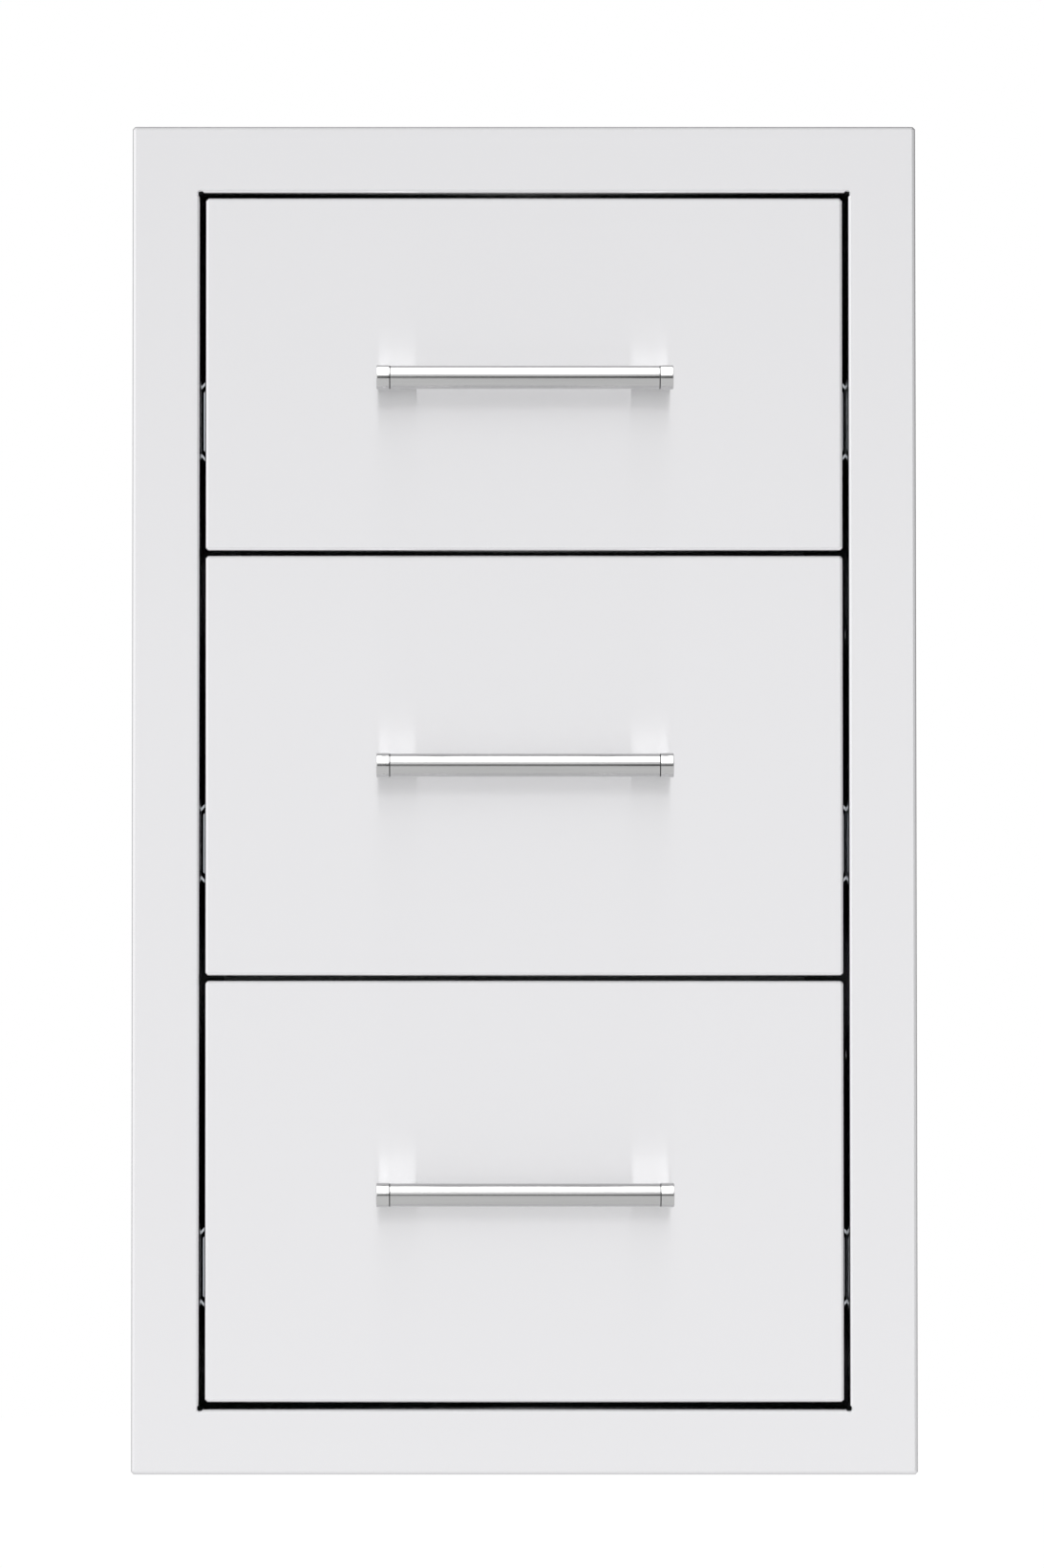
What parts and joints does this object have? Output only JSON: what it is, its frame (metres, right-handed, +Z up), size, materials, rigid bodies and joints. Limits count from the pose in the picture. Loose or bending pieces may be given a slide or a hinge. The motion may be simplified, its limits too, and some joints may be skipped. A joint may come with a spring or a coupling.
{
  "type": "outdoor kitchen drawer unit",
  "caption": "Built-in stainless drawer unit: face frame, enclosed housing and a stack of flush drawers with bar handles on full-extension ball-bearing slides.",
  "frame": {"origin": "middle of the face frame's lower edge, in the plane where its outer return bears on the wall", "axes": "+Z up, +Y from the front into the wall, +X to the right seen from the front; the drawers open towards -Y"},
  "size_m": [0.4318, 0.5653, 0.742],
  "materials": {
    "brushed_stainless": "fine horizontal brushed grain",
    "handle_stainless": "satin, brushed along the bar",
    "folded_stainless": "plain mill-finish sheet",
    "zinc_plate": "bright zinc plate",
    "cage_steel": "thin pressed steel",
    "bumper_rubber": "matt black"
  },
  "bodies": {
    "cabinet": {"face_frame": "brushed_stainless", "side_panel_left": "folded_stainless", "side_panel_right": "folded_stainless", "top_panel": "folded_stainless", "bottom_panel": "folded_stainless", "back_panel": "folded_stainless", "slide_bumpers": "bumper_rubber", "slide_outer_top_left": "zinc_plate", "slide_outer_top_right": "zinc_plate", "slide_outer_middle_left": "zinc_plate", "slide_outer_middle_right": "zinc_plate", "slide_outer_bottom_left": "zinc_plate", "slide_outer_bottom_right": "zinc_plate"},
    "drawer_top": {"front_skin_top": "brushed_stainless", "front_liner_top": "folded_stainless", "handle_bar_top": "handle_stainless", "handle_leg_top_left": "handle_stainless", "handle_leg_top_right": "handle_stainless", "tray_top": "folded_stainless", "tray_back_top": "folded_stainless", "slide_inner_top_left": "zinc_plate", "slide_inner_top_right": "zinc_plate"},
    "middle_member_top_left": {"slide_middle_top_left": "zinc_plate"},
    "middle_member_top_right": {"slide_middle_top_right": "zinc_plate"},
    "outer_cages_top": {"ball_cages_outer_top": "cage_steel"},
    "inner_cages_top": {"ball_cages_inner_top": "cage_steel"},
    "drawer_middle": {"front_skin_middle": "brushed_stainless", "front_liner_middle": "folded_stainless", "handle_bar_middle": "handle_stainless", "handle_leg_middle_left": "handle_stainless", "handle_leg_middle_right": "handle_stainless", "tray_middle": "folded_stainless", "tray_back_middle": "folded_stainless", "slide_inner_middle_left": "zinc_plate", "slide_inner_middle_right": "zinc_plate"},
    "middle_member_middle_left": {"slide_middle_middle_left": "zinc_plate"},
    "middle_member_middle_right": {"slide_middle_middle_right": "zinc_plate"},
    "outer_cages_middle": {"ball_cages_outer_middle": "cage_steel"},
    "inner_cages_middle": {"ball_cages_inner_middle": "cage_steel"},
    "drawer_bottom": {"front_skin_bottom": "brushed_stainless", "front_liner_bottom": "folded_stainless", "handle_bar_bottom": "handle_stainless", "handle_leg_bottom_left": "handle_stainless", "handle_leg_bottom_right": "handle_stainless", "tray_bottom": "folded_stainless", "tray_back_bottom": "folded_stainless", "slide_inner_bottom_left": "zinc_plate", "slide_inner_bottom_right": "zinc_plate"},
    "middle_member_bottom_left": {"slide_middle_bottom_left": "zinc_plate"},
    "middle_member_bottom_right": {"slide_middle_bottom_right": "zinc_plate"},
    "outer_cages_bottom": {"ball_cages_outer_bottom": "cage_steel"},
    "inner_cages_bottom": {"ball_cages_inner_bottom": "cage_steel"}
  },
  "joints": [
    {"name": "drawer_top_slide", "type": "slide", "parent": "cabinet", "child": "drawer_top", "axis": [0, -1, 0], "range_m": [0, 0.45]},
    {"name": "middle_member_top_left_slide", "type": "slide", "parent": "cabinet", "child": "middle_member_top_left", "axis": [0, -1, 0], "range_m": [0, 0.225]},
    {"name": "middle_member_top_right_slide", "type": "slide", "parent": "cabinet", "child": "middle_member_top_right", "axis": [0, -1, 0], "range_m": [0, 0.225]},
    {"name": "outer_cages_top_slide", "type": "slide", "parent": "cabinet", "child": "outer_cages_top", "axis": [0, -1, 0], "range_m": [0, 0.1125]},
    {"name": "inner_cages_top_slide", "type": "slide", "parent": "cabinet", "child": "inner_cages_top", "axis": [0, -1, 0], "range_m": [0, 0.3375]},
    {"name": "drawer_middle_slide", "type": "slide", "parent": "cabinet", "child": "drawer_middle", "axis": [0, -1, 0], "range_m": [0, 0.45]},
    {"name": "middle_member_middle_left_slide", "type": "slide", "parent": "cabinet", "child": "middle_member_middle_left", "axis": [0, -1, 0], "range_m": [0, 0.225]},
    {"name": "middle_member_middle_right_slide", "type": "slide", "parent": "cabinet", "child": "middle_member_middle_right", "axis": [0, -1, 0], "range_m": [0, 0.225]},
    {"name": "outer_cages_middle_slide", "type": "slide", "parent": "cabinet", "child": "outer_cages_middle", "axis": [0, -1, 0], "range_m": [0, 0.1125]},
    {"name": "inner_cages_middle_slide", "type": "slide", "parent": "cabinet", "child": "inner_cages_middle", "axis": [0, -1, 0], "range_m": [0, 0.3375]},
    {"name": "drawer_bottom_slide", "type": "slide", "parent": "cabinet", "child": "drawer_bottom", "axis": [0, -1, 0], "range_m": [0, 0.45]},
    {"name": "middle_member_bottom_left_slide", "type": "slide", "parent": "cabinet", "child": "middle_member_bottom_left", "axis": [0, -1, 0], "range_m": [0, 0.225]},
    {"name": "middle_member_bottom_right_slide", "type": "slide", "parent": "cabinet", "child": "middle_member_bottom_right", "axis": [0, -1, 0], "range_m": [0, 0.225]},
    {"name": "outer_cages_bottom_slide", "type": "slide", "parent": "cabinet", "child": "outer_cages_bottom", "axis": [0, -1, 0], "range_m": [0, 0.1125]},
    {"name": "inner_cages_bottom_slide", "type": "slide", "parent": "cabinet", "child": "inner_cages_bottom", "axis": [0, -1, 0], "range_m": [0, 0.3375]}
  ],
  "couplings": [
    {"joint": "middle_member_top_left_slide", "follows": "drawer_top_slide", "ratio": 0.5},
    {"joint": "middle_member_top_right_slide", "follows": "drawer_top_slide", "ratio": 0.5},
    {"joint": "outer_cages_top_slide", "follows": "drawer_top_slide", "ratio": 0.25},
    {"joint": "inner_cages_top_slide", "follows": "drawer_top_slide", "ratio": 0.75},
    {"joint": "middle_member_middle_left_slide", "follows": "drawer_middle_slide", "ratio": 0.5},
    {"joint": "middle_member_middle_right_slide", "follows": "drawer_middle_slide", "ratio": 0.5},
    {"joint": "outer_cages_middle_slide", "follows": "drawer_middle_slide", "ratio": 0.25},
    {"joint": "inner_cages_middle_slide", "follows": "drawer_middle_slide", "ratio": 0.75},
    {"joint": "middle_member_bottom_left_slide", "follows": "drawer_bottom_slide", "ratio": 0.5},
    {"joint": "middle_member_bottom_right_slide", "follows": "drawer_bottom_slide", "ratio": 0.5},
    {"joint": "outer_cages_bottom_slide", "follows": "drawer_bottom_slide", "ratio": 0.25},
    {"joint": "inner_cages_bottom_slide", "follows": "drawer_bottom_slide", "ratio": 0.75}
  ]
}
